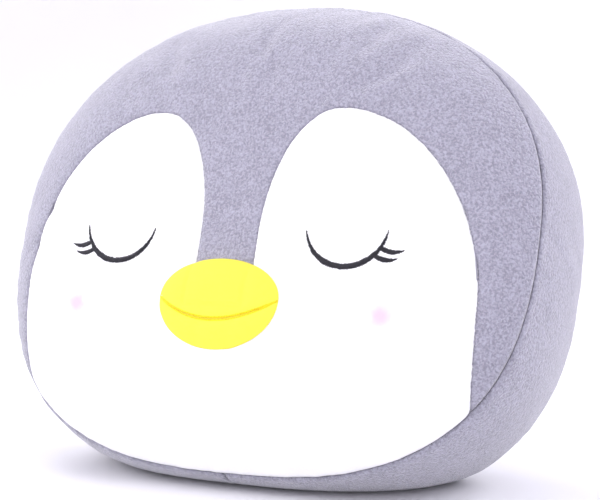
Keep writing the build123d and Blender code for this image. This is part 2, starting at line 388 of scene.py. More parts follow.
def add_mix(tree, factor, first, second, blend="MIX"):
    node = tree.nodes.new("ShaderNodeMix")
    node.data_type, node.blend_type = "RGBA", blend
    for socket, value in zip((node.inputs[0], node.inputs[6], node.inputs[7]), (factor, first, second)):
        if isinstance(value, (int, float)):
            socket.default_value = value
        elif isinstance(value, bpy.types.NodeSocket):
            tree.links.new(value, socket)
        else:
            socket.default_value = (*value, 1)
    return node.outputs[2]


def add_bump(tree, shader, height, distance, strength=1.0):
    node = tree.nodes.new("ShaderNodeBump")
    node.inputs["Distance"].default_value = distance
    node.inputs["Strength"].default_value = strength
    tree.links.new(height, node.inputs["Height"])
    tree.links.new(node.outputs["Normal"], shader.inputs["Normal"])


def seam_shade(tree, colour_in, darkness):
    """Darkens the colour beside a seam, from the piece's own seam attribute: parted pile, and painted shade
    in the seam's groove.
    """
    node = tree.nodes.new("ShaderNodeAttribute")
    node.attribute_name = "seam"
    factor = add_math(tree, "MULTIPLY", node.outputs["Fac"], darkness)
    return add_mix(tree, factor, colour_in, (0.0, 0.0, 0.0))


def plush_material(name, pile, mottle, nap, sheen, sheen_tint, seam_dark, blush=None):
    """Short brushed plush: mottled lie of the pile, fine tufts and a soft bright edge."""
    material, tree, shader, place = new_material(name)
    light = tuple(min(1.0, c * (1 + mottle)) for c in pile)
    dark = tuple(c * (1 - mottle) for c in pile)
    patches = add_noise(tree, place, PATCH_SIZE, detail=3.0, roughness=0.6, distortion=0.6)
    tufts = add_noise(tree, place, TUFT_SIZE, detail=1.5, roughness=0.6, distortion=0.5)
    hairs = add_noise(tree, place, HAIR_SIZE, detail=1.0)
    lie = add_blend(tree, patches, tufts, 0.85)
    colour_out = add_mix(tree, add_range(tree, lie, 0.38, 0.62, 0, 1), dark, light)
    if blush:
        colour_out = blush(tree, place, colour_out)
    # painted shade in the seam grooves, together with the darker parted pile
    colour_out = seam_shade(tree, colour_out, seam_dark)
    tree.links.new(colour_out, shader.inputs["Base Color"])
    shader.inputs["Roughness"].default_value = 0.95
    shader.inputs["Specular IOR Level"].default_value = 0.12
    shader.inputs["Sheen Weight"].default_value = sheen
    shader.inputs["Sheen Roughness"].default_value = 0.38
    shader.inputs["Sheen Tint"].default_value = (*sheen_tint, 1)
    add_bump(tree, shader, add_blend(tree, tufts, hairs, 0.3), PILE_HEIGHT, nap)
    return material


def blush_spots(tree, place, colour_in):
    """Two soft pink spots sprayed on the cheeks."""
    face, pink = bpy.context.scene.cushion_face, bpy.context.scene.cushion_colours.pink
    across = tree.nodes.new("ShaderNodeSeparateXYZ")
    tree.links.new(place, across.inputs[0])
    side = add_math(tree, "ABSOLUTE", across.outputs["X"], 0)
    sizes = bpy.context.scene.cushion_head
    middle = to_world([[0, 0, face.blush_level]])[0]
    # height along the face of a point, from the middle of the spots
    rise = add_math(tree, "SUBTRACT", across.outputs["Z"], float(middle[2]))
    depth = add_math(tree, "SUBTRACT", across.outputs["Y"], float(middle[1]))
    up = add_math(tree, "MULTIPLY", rise, cos(sizes.lean))
    back = add_math(tree, "MULTIPLY", depth, sin(sizes.lean))
    level = add_math(tree, "ADD", up, back)
    beside = add_math(tree, "SUBTRACT", side, face.blush_side)
    beside_squared = add_math(tree, "MULTIPLY", beside, beside)
    level_squared = add_math(tree, "MULTIPLY", level, level)
    distance = add_math(tree, "SQRT", add_math(tree, "ADD", beside_squared, level_squared), 0)
    cloud = add_noise(tree, place, 6 * MM, detail=2.0)
    wander = add_range(tree, cloud, 0.3, 0.7, -BLUSH_WANDER, BLUSH_WANDER)
    edge = add_math(tree, "ADD", distance, wander)
    full = 0.1 * face.blush_radius
    amount = add_range(tree, edge, full, face.blush_radius, BLUSH_STRENGTH, 0, smooth=True)
    return add_mix(tree, amount, colour_in, tuple(pink))


def thread_material(name, thread, gloss):
    """Twisted embroidery thread with a silky lustre."""
    material, tree, shader, place = new_material(name)
    streaks = add_noise(tree, place, 0.0006, detail=2.0)
    light = tuple(min(1.0, 1.25 * c + 0.004) for c in thread)
    dark = tuple(0.75 * c for c in thread)
    tint = add_mix(tree, add_range(tree, streaks, 0.3, 0.7, 0, 1), dark, light)
    tree.links.new(tint, shader.inputs["Base Color"])
    shader.inputs["Roughness"].default_value = gloss
    shader.inputs["Specular IOR Level"].default_value = 0.35
    shader.inputs["Sheen Weight"].default_value = 0.1
    add_bump(tree, shader, streaks, 0.0002, 0.6)
    return material


def cloth_material(name, tint, thread_size):
    """Plain woven or bonded cloth, for the label, backings and wadding."""
    material, tree, shader, place = new_material(name)
    weave = add_noise(tree, place, thread_size, detail=3.0, roughness=0.7)
    light = tuple(min(1.0, c * 1.05) for c in tint)
    dark = tuple(c * 0.88 for c in tint)
    woven = add_mix(tree, add_range(tree, weave, 0.35, 0.65, 0, 1), dark, light)
    tree.links.new(woven, shader.inputs["Base Color"])
    shader.inputs["Roughness"].default_value = 0.7
    shader.inputs["Sheen Weight"].default_value = 0.2
    add_bump(tree, shader, weave, 0.0004, 0.5)
    return material


MATERIALS = {}


def make_materials():
    colours = bpy.context.scene.cushion_colours
    grey, white, yellow = tuple(colours.grey), tuple(colours.white), tuple(colours.yellow)
    MATERIALS["grey_plush"] = plush_material(
        "grey plush", grey, mottle=0.22, nap=1.0, sheen=1.0, sheen_tint=(0.97, 0.96, 1.0), seam_dark=0.4
    )
    MATERIALS["white_plush"] = plush_material(
        "white plush", white, mottle=0.012, nap=0.16, sheen=0.1, sheen_tint=(1.0, 1.0, 1.0), seam_dark=0.2,
        blush=blush_spots,
    )
    MATERIALS["yellow_plush"] = plush_material(
        "yellow plush", yellow, mottle=0.035, nap=0.2, sheen=0.15, sheen_tint=(1.0, 0.97, 0.7), seam_dark=0.15
    )
    MATERIALS["black_thread"] = thread_material("black thread", tuple(colours.black), 0.45)
    MATERIALS["gold_thread"] = thread_material("gold thread", tuple(colours.gold), 0.5)
    MATERIALS["grey_thread"] = thread_material("grey thread", tuple(0.8 * c for c in grey), 0.6)
    MATERIALS["white_satin"] = cloth_material("white satin", rgb(244, 243, 240), 0.0005)
    MATERIALS["white_nonwoven"] = cloth_material("white nonwoven", rgb(232, 232, 230), 0.0012)
    MATERIALS["white_fibre"] = cloth_material("white fibre", rgb(240, 240, 238), 0.003)


# ---------------------------------------------------------------------------
# Cushion: a closed skin of front dome, side band and back dome
# ---------------------------------------------------------------------------

GRID_SIDE = 60
DOME_RINGS = 18
BAND_ROWS = 20
BLOCK_SHARE = 0.42
SWELL_KEPT = 0.12  # part of the even swelling that stays
SWELL_ROUNDS = 60  # how widely the swelling is averaged
SWELL_CAP = 5 * MM
CLOTH_FRAMES = 20
FAR_ABOVE_FLOOR = 20  # in contact radii, where the rounding no longer counts
PEAK_LENGTH = 140 * MM  # straight sides of the grey peak, which end behind the beak
JAW_RUN = 2.2  # how far the sides of the white run on, past the seam
JAW_STEP = 0.42  # part of the jaw's height that counts as one in that run
SEAM_CUTS = 3
FRONT, RIGHT_BAND, LEFT_BAND, BACK = range(4)


def disc_grid():
    """Round quad grid: a square block of faces in the middle and rings round it.
    Returns each point's angle and share of the outline, the faces, and the outer ring."""
    steps = np.tan(np.radians(np.linspace(-45, 45, GRID_SIDE + 1)))
    across, up = np.meshgrid(steps, steps, indexing="ij")
    widest = np.maximum(np.abs(across), np.abs(up))
    angles = list(np.arctan2(up, across).ravel())
    shares = list((BLOCK_SHARE * np.sqrt(widest * np.hypot(across, up))).ravel())
    side = GRID_SIDE + 1
    faces = [
        (i * side + j, (i + 1) * side + j, (i + 1) * side + j + 1, i * side + j + 1)
        for i in range(GRID_SIDE)
        for j in range(GRID_SIDE)
    ]
    last = GRID_SIDE
    ring = [last * side + j for j in range(last)]
    ring += [i * side + last for i in range(last, 0, -1)]
    ring += [j for j in range(last, 0, -1)]
    ring += [i * side for i in range(last)]
    inner = np.array([shares[i] for i in ring])
    around = [angles[i] for i in ring]
    count = len(ring)
    for step in range(1, DOME_RINGS + 1):
        start = len(angles)
        angles += around
        shares += list(inner + (1 - inner) * step / DOME_RINGS)
        faces += [
            (ring[k], start + k, start + (k + 1) % count, ring[(k + 1) % count]) for k in range(count)
        ]
        ring = list(range(start, start + count))
    return np.array(angles), np.array(shares), faces, ring


def cushion_mesh():
    """The whole skin as one closed mesh, each face's material index naming its panel."""
    sizes, place = bpy.context.scene.cushion_head, head()
    angles, shares, disc, ring = disc_grid()
    reach = shares * outline_reach(angles)
    dome = sizes.dome_depth * (1 - shares**sizes.dome_power)
    flat = np.stack([reach * np.cos(angles), np.zeros(len(reach)), reach * np.sin(angles)], 1)
    count, disc_size = len(ring), len(angles)
    front = flat - np.outer(dome, (0, 1, 0))
    back = flat + np.outer(place["band"] + dome, (0, 1, 0))
    points = [front, back]
    faces = list(disc) + [tuple(disc_size + i for i in f) for f in disc]
    panels = [FRONT] * len(disc) + [BACK] * len(disc)
    around = angles[ring]
    edge = outline_reach(around)
    rows = [list(ring)]
    start = 2 * disc_size
    for row in range(1, BAND_ROWS):
        share = row / BAND_ROWS
        out = edge + sizes.band_bulge * 4 * share * (1 - share)
        back_from_front = np.full(count, share * place["band"])
        points.append(np.stack([out * np.cos(around), back_from_front, out * np.sin(around)], 1))
        rows.append(list(range(start, start + count)))
        start += count
    rows.append([disc_size + i for i in ring])
    for upper, lower in zip(rows, rows[1:]):
        for k in range(count):
            after = (k + 1) % count
            faces.append((upper[k], upper[after], lower[after], lower[k]))
            # halfway between two directions, also where the angle starts again
            middle = around[k] + (around[after] - around[k] + pi) % (2 * pi) / 2 - pi / 2
            panels.append(RIGHT_BAND if cos(middle) > 0 else LEFT_BAND)
    return np.concatenate(points), faces, panels


def rest_on_floor(points, contact):
    """Flattens what would hang below the resting face, rounded where it leaves the face."""
    flattened = points.copy()
    level = points[:, 2] / contact
    rounded = np.log1p(np.exp(np.minimum(level, FAR_ABOVE_FLOOR)))
    flattened[:, 2] = contact * np.where(level > FAR_ABOVE_FLOOR, level, rounded)
    return flattened


def smoothed(mesh, values, rounds):
    """Values of a mesh's points, averaged with their neighbours a number of times."""
    edges = np.zeros(len(mesh.edges) * 2, int)
    mesh.edges.foreach_get("vertices", edges)
    first, second = edges.reshape(-1, 2).T
    near = np.bincount(edges, minlength=len(values))[:, None]
    for _ in range(rounds):
        total = np.zeros_like(values)
        for axis in range(values.shape[1]):
            total[:, axis] = np.bincount(first, values[second, axis], len(values))
            total[:, axis] += np.bincount(second, values[first, axis], len(values))
        values = 0.5 * values + 0.5 * total / near
    return values


def inflate(piece, start, pinned, cap):
    """Blows the skin up as cloth under pressure, and limits how far a point may move.
    Most of the even swelling is taken off again, which keeps the frame's shape and leaves the gathers."""
    group = piece.vertex_groups.new(name="pinned")
    for index, weight in enumerate(pinned):
        if weight > 0.01:
            group.add([index], float(weight), "REPLACE")
    cloth = piece.modifiers.new("cloth", "CLOTH")
    settings = cloth.settings
    settings.quality = 5
    settings.mass = 0.25
    settings.tension_stiffness = settings.compression_stiffness = 30
    settings.shear_stiffness = 12
    settings.bending_stiffness = 0.6
    settings.vertex_group_mass = "pinned"
    settings.pin_stiffness = 1
    settings.shrink_min = -0.008
    settings.use_pressure = True
    settings.uniform_pressure_force = 4
    settings.effector_weights.gravity = 0
    cloth.point_cache.frame_start, cloth.point_cache.frame_end = 1, CLOTH_FRAMES
    for step in range(1, CLOTH_FRAMES + 1):
        bpy.context.scene.frame_set(step)
    shown = piece.evaluated_get(bpy.context.evaluated_depsgraph_get())
    moved = coordinates(shown.to_mesh()) - start
    shown.to_mesh_clear()
    piece.modifiers.remove(cloth)
    piece.vertex_groups.clear()
    bpy.context.scene.frame_set(1)
    moved -= (1 - SWELL_KEPT) * smoothed(piece.data, moved, SWELL_ROUNDS)
    far = np.linalg.norm(moved, axis=1)
    limit = np.where(far > 1e-9, cap * np.tanh(far / cap) / np.maximum(far, 1e-9), 1)
    return start + moved * limit[:, None]


def white_outline():
    """Closed outline of the white region across the face, as it is cut."""
    face = bpy.context.scene.cushion_face
    turn = np.radians(np.linspace(0, 90, 46))
    inner_side = face.lobe_centre - face.peak_side
    inner_level = face.lobe_top - face.inner_drop
    outer_side = face.lobe_side - face.lobe_centre
    outer_level = face.lobe_top - face.outer_drop

    def quarter(power):
        return np.cos(turn) ** (2 / power), np.sin(turn) ** (2 / power)

    across, up = quarter(face.inner_power)
    right = [np.stack([face.lobe_centre - inner_side * across, inner_level + face.inner_drop * up], 1)]
    across, up = quarter(face.outer_power)
    shoulder = np.stack([face.lobe_centre + outer_side * across, outer_level + face.outer_drop * up], 1)
    right.append(shoulder[::-1])
    below = np.linspace(0, JAW_RUN, 40)[1:]
    drop = JAW_STEP * head()["jaw"] * below
    right.append(np.stack([face.lobe_side - face.jaw_tuck * below**2, outer_level - drop], 1))
    peak_end = np.array([[face.peak_side, face.lobe_top - PEAK_LENGTH]])
    right = np.concatenate([peak_end] + right)
    left = right[::-1] * (-1, 1)
    return np.concatenate([right, left])


def signed_distance(points, outline):
    """Distance to a closed outline, positive inside it."""
    start, end = outline, np.roll(outline, -1, axis=0)
    along = end - start
    size = np.maximum((along**2).sum(1), 1e-18)
    nearest = np.full(len(points), np.inf)
    inside = np.zeros(len(points), bool)
    for a, b, d, s in zip(start, end, along, size):
        t = np.clip(((points - a) @ d) / s, 0, 1)
        nearest = np.minimum(nearest, ((points - a - np.outer(t, d)) ** 2).sum(1))
        crosses = (a[1] > points[:, 1]) != (b[1] > points[:, 1])
        if crosses.any():
            x = a[0] + (points[:, 1] - a[1]) * d[0] / (d[1] if abs(d[1]) > 1e-15 else 1e-15)
            inside ^= crosses & (points[:, 0] < x)
    return np.where(inside, 1, -1) * np.sqrt(nearest)


def white_distance(points, ragged):
    """How far inside the white panel points of the head are, with the pile's wander."""
    flat = to_head(points)[:, [0, 2]]
    distance = signed_distance(flat, white_outline())
    near = np.abs(distance) < 4 * MM
    wander = np.zeros(len(points))
    wander[near] = soft_noise(points[near], 2.2 * MM, 5) + 0.6 * soft_noise(points[near], 1.0 * MM, 6)
    return distance + ragged * wander


def split_rows(work, is_seam):
    """Cuts the faces beside a seam into narrower rows, so that its groove has a shape."""
    seam = {v for v in work.verts if is_seam(v)}
    cross = [e for e in work.edges if (e.verts[0] in seam) != (e.verts[1] in seam)]
    bmesh.ops.subdivide_edges(work, edges=cross, cuts=SEAM_CUTS, use_grid_fill=True)


def distance_to(points, targets, limit):
    """Distance to the nearest of many points, up to a limit."""
    tree = kdtree.KDTree(len(targets))
    for index, target in enumerate(targets):
        tree.insert(target, index)
    tree.balance()
    found = np.full(len(points), limit)
    for index, point in enumerate(points):
        distance = tree.find(point)[2]
        found[index] = min(limit, distance)
    return found


# How the skin is worked beside its seams
FAR_FROM_SEAM = 30 * MM
GROOVE_CURVE = 1.3
ROLL_HEIGHT = 0.35 * MM
ROLL_PLACE = 3.4 * MM
ROLL_WIDTH = 2 * MM
GATHER_SIZE = 9 * MM
FINE_GATHER_SIZE = 5 * MM
WHITE_GROOVE_WIDTH = 1.1 * MM
WHITE_DIP = 0.45 * MM
WHITE_DIP_WIDTH = 5 * MM
LUMP_HEIGHT = 0.5 * MM
LUMP_SIZE = 38 * MM
FINE_LUMP_HEIGHT = 0.12 * MM
FINE_LUMP_SIZE = 4 * MM
# widths of the darkening beside the seams: parted pile and painted shade in their grooves
PARTED_PILE_AND_SHADE = 0.8 * MM
PARTED_WHITE_PILE_AND_SHADE = 0.6 * MM


class CUSHION_OT_skin(bpy.types.Operator):
    """Inflates the plush skin, cuts it into its panels and sinks its seams"""

    bl_idname = "cushion.skin"
    bl_label = "Plush skin and stuffing"

    def execute(self, context):
        sizes, place = context.scene.cushion_head, head()
        points, faces, panels = cushion_mesh()
        start = rest_on_floor(to_world(points), sizes.contact)
        skin = new_piece("skin", start, faces)
        skin.data.polygons.foreach_set("material_index", panels)
        face_outwards(skin)
        rear = points[:, 1] - place["band"]
        seam_gap = np.minimum(np.abs(points[:, 1]), np.abs(rear))
        edge = outline_reach(np.arctan2(points[:, 2], points[:, 0]))
        outward = np.abs(np.hypot(points[:, 0], points[:, 2]) - edge)
        on_seam = (seam_gap < 1e-6) & (outward < 1e-6)
        pinned = np.where(on_seam, 1.0, np.clip(1 - (start[:, 2] - sizes.contact) / (4 * MM), 0, 1))
        start = inflate(skin, start, pinned, SWELL_CAP)
        start[:, 2] = np.maximum(start[:, 2], 0)
        place_points(skin.data, start)
        self.stuffing(skin)
        self.panels(skin, on_seam)
        return {"FINISHED"}

    def stuffing(self, skin):
        """Lumpy ball of filling that fills the skin."""
        faces = [tuple(p.vertices) for p in skin.data.polygons]
        stuffing = new_piece("stuffing", coordinates(skin.data), faces)
        out, rest = normals(stuffing.data), coordinates(stuffing.data)
        depth = 5.0 * MM + 1.0 * MM * soft_noise(rest, 25 * MM, 3)
        place_points(stuffing.data, rest - out * depth[:, None])
        finish_piece(stuffing, MATERIALS["white_fibre"], ["fibre_filling"])

    def panels(self, skin, on_seam):
        """Subdivides the skin, sinks the seams and parts the panels."""
        sizes, face = bpy.context.scene.cushion_head, bpy.context.scene.cushion_face
        crease = skin.data.attributes.new("crease_edge", "FLOAT", "EDGE")
        seam_edge = [on_seam[e.vertices[0]] and on_seam[e.vertices[1]] for e in skin.data.edges]
        crease.data.foreach_set("value", [1.0 if s else 0.0 for s in seam_edge])
        smooth = skin.modifiers.new("smooth", "SUBSURF")
        smooth.levels = smooth.render_levels = 1
        apply_modifiers(skin)
        work = bmesh.new()
        work.from_mesh(skin.data)
        work.verts.ensure_lookup_table()

        def is_seam(vert):
            kinds = {f.material_index for f in vert.link_faces}
            return len(kinds) > 1

        split_rows(work, is_seam)
        self.cut_white(work, face.ragged)
        work.to_mesh(skin.data)
        work.free()
        skin.data.update()
        self.sink_seams(skin)
        self.part_panels(skin)

    def cut_white(self, work, ragged):
        """Cuts the front along the outline of the white panel, and numbers the white faces."""

        def front_verts():
            return [v for v in work.verts if any(f.material_index == FRONT for f in v.link_faces)]

        verts = front_verts()
        distance = white_distance(np.array([v.co for v in verts]), 0)
        near = {v for v, d in zip(verts, distance) if abs(d) < 3.5 * MM}
        edges = [
            e
            for e in work.edges
            if near.issuperset(e.verts) and all(f.material_index == FRONT for f in e.link_faces)
        ]
        bmesh.ops.subdivide_edges(work, edges=edges, cuts=2, use_grid_fill=True)
        verts = front_verts()
        white = dict(zip(verts, white_distance(np.array([v.co for v in verts]), ragged)))
        crossed = []
        for edge in list(work.edges):
            a, b = edge.verts
            if a in white and b in white and white[a] * white[b] < 0:
                if any(f.material_index == FRONT for f in edge.link_faces):
                    crossed.append(edge)
        on_line = {v for v, d in white.items() if abs(d) < 1e-9}
        for edge in crossed:
            a, b = edge.verts
            share = white[a] / (white[a] - white[b])
            _, middle = bmesh.utils.edge_split(edge, a, share)
            white[middle] = 0.0
            on_line.add(middle)
        for face in [f for f in work.faces if f.material_index == FRONT]:
            hits = [v for v in face.verts if v in on_line]
            if len(hits) == 2 and not any(set(e.verts) == set(hits) for e in face.edges):
                bmesh.utils.face_split(face, hits[0], hits[1])
            elif len(hits) > 2:
                self.split_between(face, hits)
        layer = work.faces.layers.int.new("white")
        for face in work.faces:
            if face.material_index == FRONT:
                level = sum(white.get(v, 0) for v in face.verts)
                face[layer] = 1 if level > 0 else 0

    def split_between(self, face, hits):
        """Splits a face that the outline crosses more than once."""
        order = list(face.verts)
        hits = sorted(hits, key=order.index)
        for a, b in zip(hits, hits[1:]):
            if abs(order.index(a) - order.index(b)) > 1 and all(v in face.verts for v in (a, b)):
                if not any(set(e.verts) == {a, b} for e in face.edges):
                    bmesh.utils.face_split(face, a, b)
                    return

    def sink_seams(self, skin):
        """Sinks each seam into a groove, with small gathers beside it, and marks it for the darkening there:
        parted pile and painted shade in the groove.
        """
        sizes = bpy.context.scene.cushion_head
        mesh = skin.data
        points, out = coordinates(mesh), normals(mesh)
        panel = np.zeros(len(mesh.polygons), int)
        mesh.polygons.foreach_get("material_index", panel)
        white = np.zeros(len(mesh.polygons), int)
        mesh.attributes["white"].data.foreach_get("value", white)
        kinds = [set() for _ in points]
        for polygon, kind, pale in zip(mesh.polygons, panel, white):
            for vertex in polygon.vertices:
                kinds[vertex].add((kind, pale))
        flat_kinds = [{k for k, _ in found} for found in kinds]
        main = np.array([len(k) > 1 for k in flat_kinds])
        pale_edge = np.array([len(k) == 1 and len(found) > 1 for k, found in zip(flat_kinds, kinds)])
        near = distance_to(points, points[main], FAR_FROM_SEAM)
        near_white = distance_to(points, points[pale_edge], FAR_FROM_SEAM)
        groove = sizes.seam_depth * np.exp(-((near / sizes.seam_width) ** GROOVE_CURVE))
        roll = ROLL_HEIGHT * np.exp(-(((near - ROLL_PLACE) / ROLL_WIDTH) ** 2))
        gather = soft_noise(points, GATHER_SIZE, 1) + 0.5 * soft_noise(points, FINE_GATHER_SIZE, 2)
        pucker = sizes.pucker * gather * np.exp(-near / GATHER_SIZE) * (near > 0)
        pale = sizes.face_seam_depth * np.exp(-((near_white / WHITE_GROOVE_WIDTH) ** 1.4))
        wide = WHITE_DIP * np.exp(-((near_white / WHITE_DIP_WIDTH) ** 2))
        lumps = LUMP_HEIGHT * soft_noise(points, LUMP_SIZE, 4)
        lumps += FINE_LUMP_HEIGHT * soft_noise(points, FINE_LUMP_SIZE, 7)
        lumps *= np.clip(near / (10 * MM), 0.15, 1)
        floor = np.clip(points[:, 2] / (8 * MM), 0, 1)
        shift = (-groove + roll + pucker + lumps) * floor - pale - wide
        moved = points + out * shift[:, None]
        moved[:, 2] = np.maximum(moved[:, 2], 0)
        place_points(mesh, moved)
        # darkening beside the seams, read by the plush materials: parted pile and painted shade in the
        # grooves
        seam = mesh.attributes.new("seam", "FLOAT", "POINT")
        mark = np.exp(-((near / PARTED_PILE_AND_SHADE) ** 1.5))
        white_mark = 0.8 * np.exp(-((near_white / PARTED_WHITE_PILE_AND_SHADE) ** 1.5))
        mark = np.maximum(mark, white_mark)
        seam.data.foreach_set("value", mark.astype(np.float32))

    def part_panels(self, skin):
        """Makes a piece of each panel, with the plush's thickness."""
        sizes = bpy.context.scene.cushion_head
        parts = (
            ("face_plush", FRONT, 1, "white_plush", ["face_panel"]),
            ("forehead_plush", FRONT, 0, "grey_plush", ["forehead_panel"]),
            ("right_side_plush", RIGHT_BAND, 0, "grey_plush", ["side_band_right"]),
            ("left_side_plush", LEFT_BAND, 0, "grey_plush", ["side_band_left"]),
            ("back_plush", BACK, 0, "grey_plush", ["back_panel"]),
        )
        for name, panel, white, material, replaced in parts:
            piece = skin.copy()
            piece.name, piece.data = name, skin.data.copy()
            piece.data.name = name
            bpy.context.scene.collection.objects.link(piece)
            work = bmesh.new()
            work.from_mesh(piece.data)
            layer = work.faces.layers.int["white"]
            other = [f for f in work.faces if f.material_index != panel or f[layer] != white]
            bmesh.ops.delete(work, geom=other, context="FACES")
            work.to_mesh(piece.data)
            work.free()
            thick = piece.modifiers.new("thickness", "SOLIDIFY")
            thick.thickness, thick.offset = sizes.plush, -1
            thick.use_even_offset = False
            apply_modifiers(piece)
            finish_piece(piece, MATERIALS[material], replaced)
        bpy.data.objects.remove(skin)


# ---------------------------------------------------------------------------
# Laying things on the finished face
# ---------------------------------------------------------------------------

SURFACE = {}


def face_surface():
    """Search tree of the finished front, for what is sewn on it."""
    if "tree" not in SURFACE:
        SURFACE["tree"] = search_tree("face_plush", "forehead_plush")
    return SURFACE["tree"]


def on_face(across, up):
    """Point of the plush and the direction out of it, at a place across the face."""
    into = Vector(head()["turn"] @ np.array([0, 1, 0]))
    start = Vector(to_world([[across, -0.2, up]])[0])
    place, normal, _, _ = face_surface().ray_cast(start, into)
    if place is None:
        raise RuntimeError("there is no plush at this place of the face")
    return place, normal if normal.dot(into) < 0 else -normal


def on_face_smooth(across, up, spread=2.0 * MM):
    """Same as on_face, with the direction averaged over a small circle."""
    place, normal = on_face(across, up)
    for turn in np.arange(6) * pi / 3:
        try:
            normal = normal + on_face(across + spread * cos(turn), up + spread * sin(turn))[1]
        except RuntimeError:
            continue
    return place, normal.normalized()


def thread_template():
    """One stitch: a thread that dives into the cloth at both ends. It is one long, wide and high."""
    bpy.ops.mesh.primitive_cylinder_add(
        vertices=6, radius=0.5, depth=1, end_fill_type="NOTHING", rotation=(0, pi / 2, 0)
    )
    stitch = bpy.context.object
    activate(stitch)
    bpy.ops.object.transform_apply(location=True, rotation=True, scale=True)
    bpy.ops.object.mode_set(mode="EDIT")
    for cut in (-0.3, 0, 0.3):
        bpy.ops.mesh.select_all(action="SELECT")
        bpy.ops.mesh.bisect(plane_co=(cut, 0, 0), plane_no=(1, 0, 0))
    bpy.ops.mesh.select_all(action="SELECT")
    bpy.ops.mesh.region_to_loop()
    bpy.ops.mesh.edge_face_add()
    bpy.ops.mesh.select_all(action="SELECT")
    bpy.ops.mesh.normals_make_consistent(inside=False)
    bpy.ops.object.mode_set(mode="OBJECT")
    points = coordinates(stitch.data)
    faces = [tuple(p.vertices) for p in stitch.data.polygons]
    bpy.data.objects.remove(stitch)
    return points, faces


def sew(name, stitches, thread, lift):
    """One piece of many stitches: each is its two ends, the direction out of the cloth and its width."""
    template, template_faces = thread_template()
    arch = 1 - (2 * template[:, 0]) ** 2
    points, faces = [], []
    for a, b, out, width in stitches:
        run = b - a
        beside = out.cross(run).normalized()
        stitch = (
            np.outer(template[:, 0], run)
            + np.outer(template[:, 1] * width, beside)
            + np.outer(template[:, 2] * thread + lift * arch - 0.35 * thread, out)
            + np.array((a + b) / 2)
        )
        faces += [tuple(len(points) * len(template) + i for i in f) for f in template_faces]
        points.append(stitch)
    return new_piece(name, np.concatenate(points), faces)


def on_face_stitches(pairs, width):
    """Stitches between pairs of places across the face."""
    stitches = []
    for first, second in pairs:
        a, out = on_face_smooth(*first)
        b, _ = on_face_smooth(*second)
        stitches.append((a, b, out, width))
    return stitches


def satin(path, widths, slant, spacing, ragged, rng):
    """Satin stitches side by side along a line across the face, as wide as the widths say."""
    path = np.array(path)
    steps = np.linalg.norm(np.diff(path, axis=0), axis=1)
    far = np.concatenate([[0], np.cumsum(steps)])
    count = int(far[-1] / spacing)
    stitches = []
    for k in range(count + 1):
        at = far[-1] * k / count
        centre = np.array([np.interp(at, far, path[:, 0]), np.interp(at, far, path[:, 1])])
        ahead = min(at + 0.5 * MM, far[-1])
        behind = max(at - 0.5 * MM, 0)
        along = np.array(
            [np.interp(ahead, far, path[:, i]) - np.interp(behind, far, path[:, i]) for i in range(2)]
        )
        along /= np.linalg.norm(along)
        beside = np.array([-along[1], along[0]])
        reach = (beside + slant * along) / sqrt(1 + slant**2)
        width = np.interp(at, far, widths)
        upper = width / 2 + ragged * rng.uniform(-1, 1)
        lower = width / 2 + ragged * rng.uniform(-1, 1)
        stitches.append((tuple(centre + reach * upper), tuple(centre - reach * lower)))
    return stitches


# ---------------------------------------------------------------------------
# Closed eyes
# ---------------------------------------------------------------------------


LID_START = -7  # degrees round the lid's curve, from its outer tip
LID_END = -169
LID_RAISE = 1.2 * MM  # from the frame's lowest stitching up to the middle line of a lid
UPPER_LASH_SLOPE = radians(-3)
LOWER_LASH_SLOPE = radians(-5)


class CUSHION_OT_eyes(bpy.types.Operator):
    """Embroiders the closed lids and their lashes in black satin stitch"""

    bl_idname = "cushion.eyes"
    bl_label = "Closed eyes"

    def execute(self, context):
        eyes = context.scene.cushion_eyes
        rng = np.random.default_rng(7)
        for side_name, side in (("left", -1), ("right", 1)):
            low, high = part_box(f"{side_name}_eyelid_stitching")
            corners = to_head([low, high])
            middle = side * abs(corners[:, 0].mean())
            self.eye(side_name, side, middle, eyes, rng)
        return {"FINISHED"}

    def eye(self, side_name, side, middle, eyes, rng):
        centre_level = eyes_level(side_name) + eyes.radius
        turns = np.radians(np.linspace(LID_START, LID_END, 90))
        path = [
            (middle + side * eyes.radius * cos(t), centre_level + eyes.radius * sin(t)) for t in turns
        ]
        share = np.linspace(0, 1, len(turns))
        widths = eyes.lid_width * (0.1 + 0.9 * np.minimum(1, 4.5 * share * (1 - share)) ** 0.9)
        lid = on_face_stitches(satin(path, widths, 0.5 * side, 0.42 * MM, 0.4 * MM, rng), 0.6 * MM)
        piece = sew(f"{side_name}_closed_eye", lid, eyes.thread, eyes.lift)
        finish_piece(piece, MATERIALS["black_thread"], [f"{side_name}_eyelid_stitching"])
        lashes = []
        for turn, slope in ((eyes.upper_lash, UPPER_LASH_SLOPE), (eyes.lower_lash, LOWER_LASH_SLOPE)):
            root = np.array((middle + side * eyes.radius * cos(turn), centre_level + eyes.radius * sin(turn)))
            tip = root + eyes.lash_length * np.array([side * cos(slope), sin(slope)])
            bend = (root + tip) / 2 - (0, 2 * eyes.lash_sag)
            share = np.linspace(0, 1, 30)[:, None]
            path = (1 - share) ** 2 * root + 2 * share * (1 - share) * bend + share**2 * tip
            widths = eyes.lash_width * np.sin(pi * (0.25 + 0.73 * share[:, 0])) ** 0.9
            lashes += on_face_stitches(satin(path, widths, -0.6 * side, 0.4 * MM, 0.3 * MM, rng), 0.6 * MM)
        piece = sew(f"{side_name}_lashes", lashes, eyes.thread, 0.7 * eyes.lift)
        finish_piece(piece, MATERIALS["black_thread"], [f"{side_name}_lash_stitching"])


def eyes_level(side_name):
    """Lowest level of a closed lid's middle line, up the face."""
    mesh = frame["nodes"][f"{side_name}_eyelid_stitching"].data
    return float(to_head(coordinates(mesh))[:, 2].min()) + LID_RAISE


# ---------------------------------------------------------------------------
# Beak
# ---------------------------------------------------------------------------


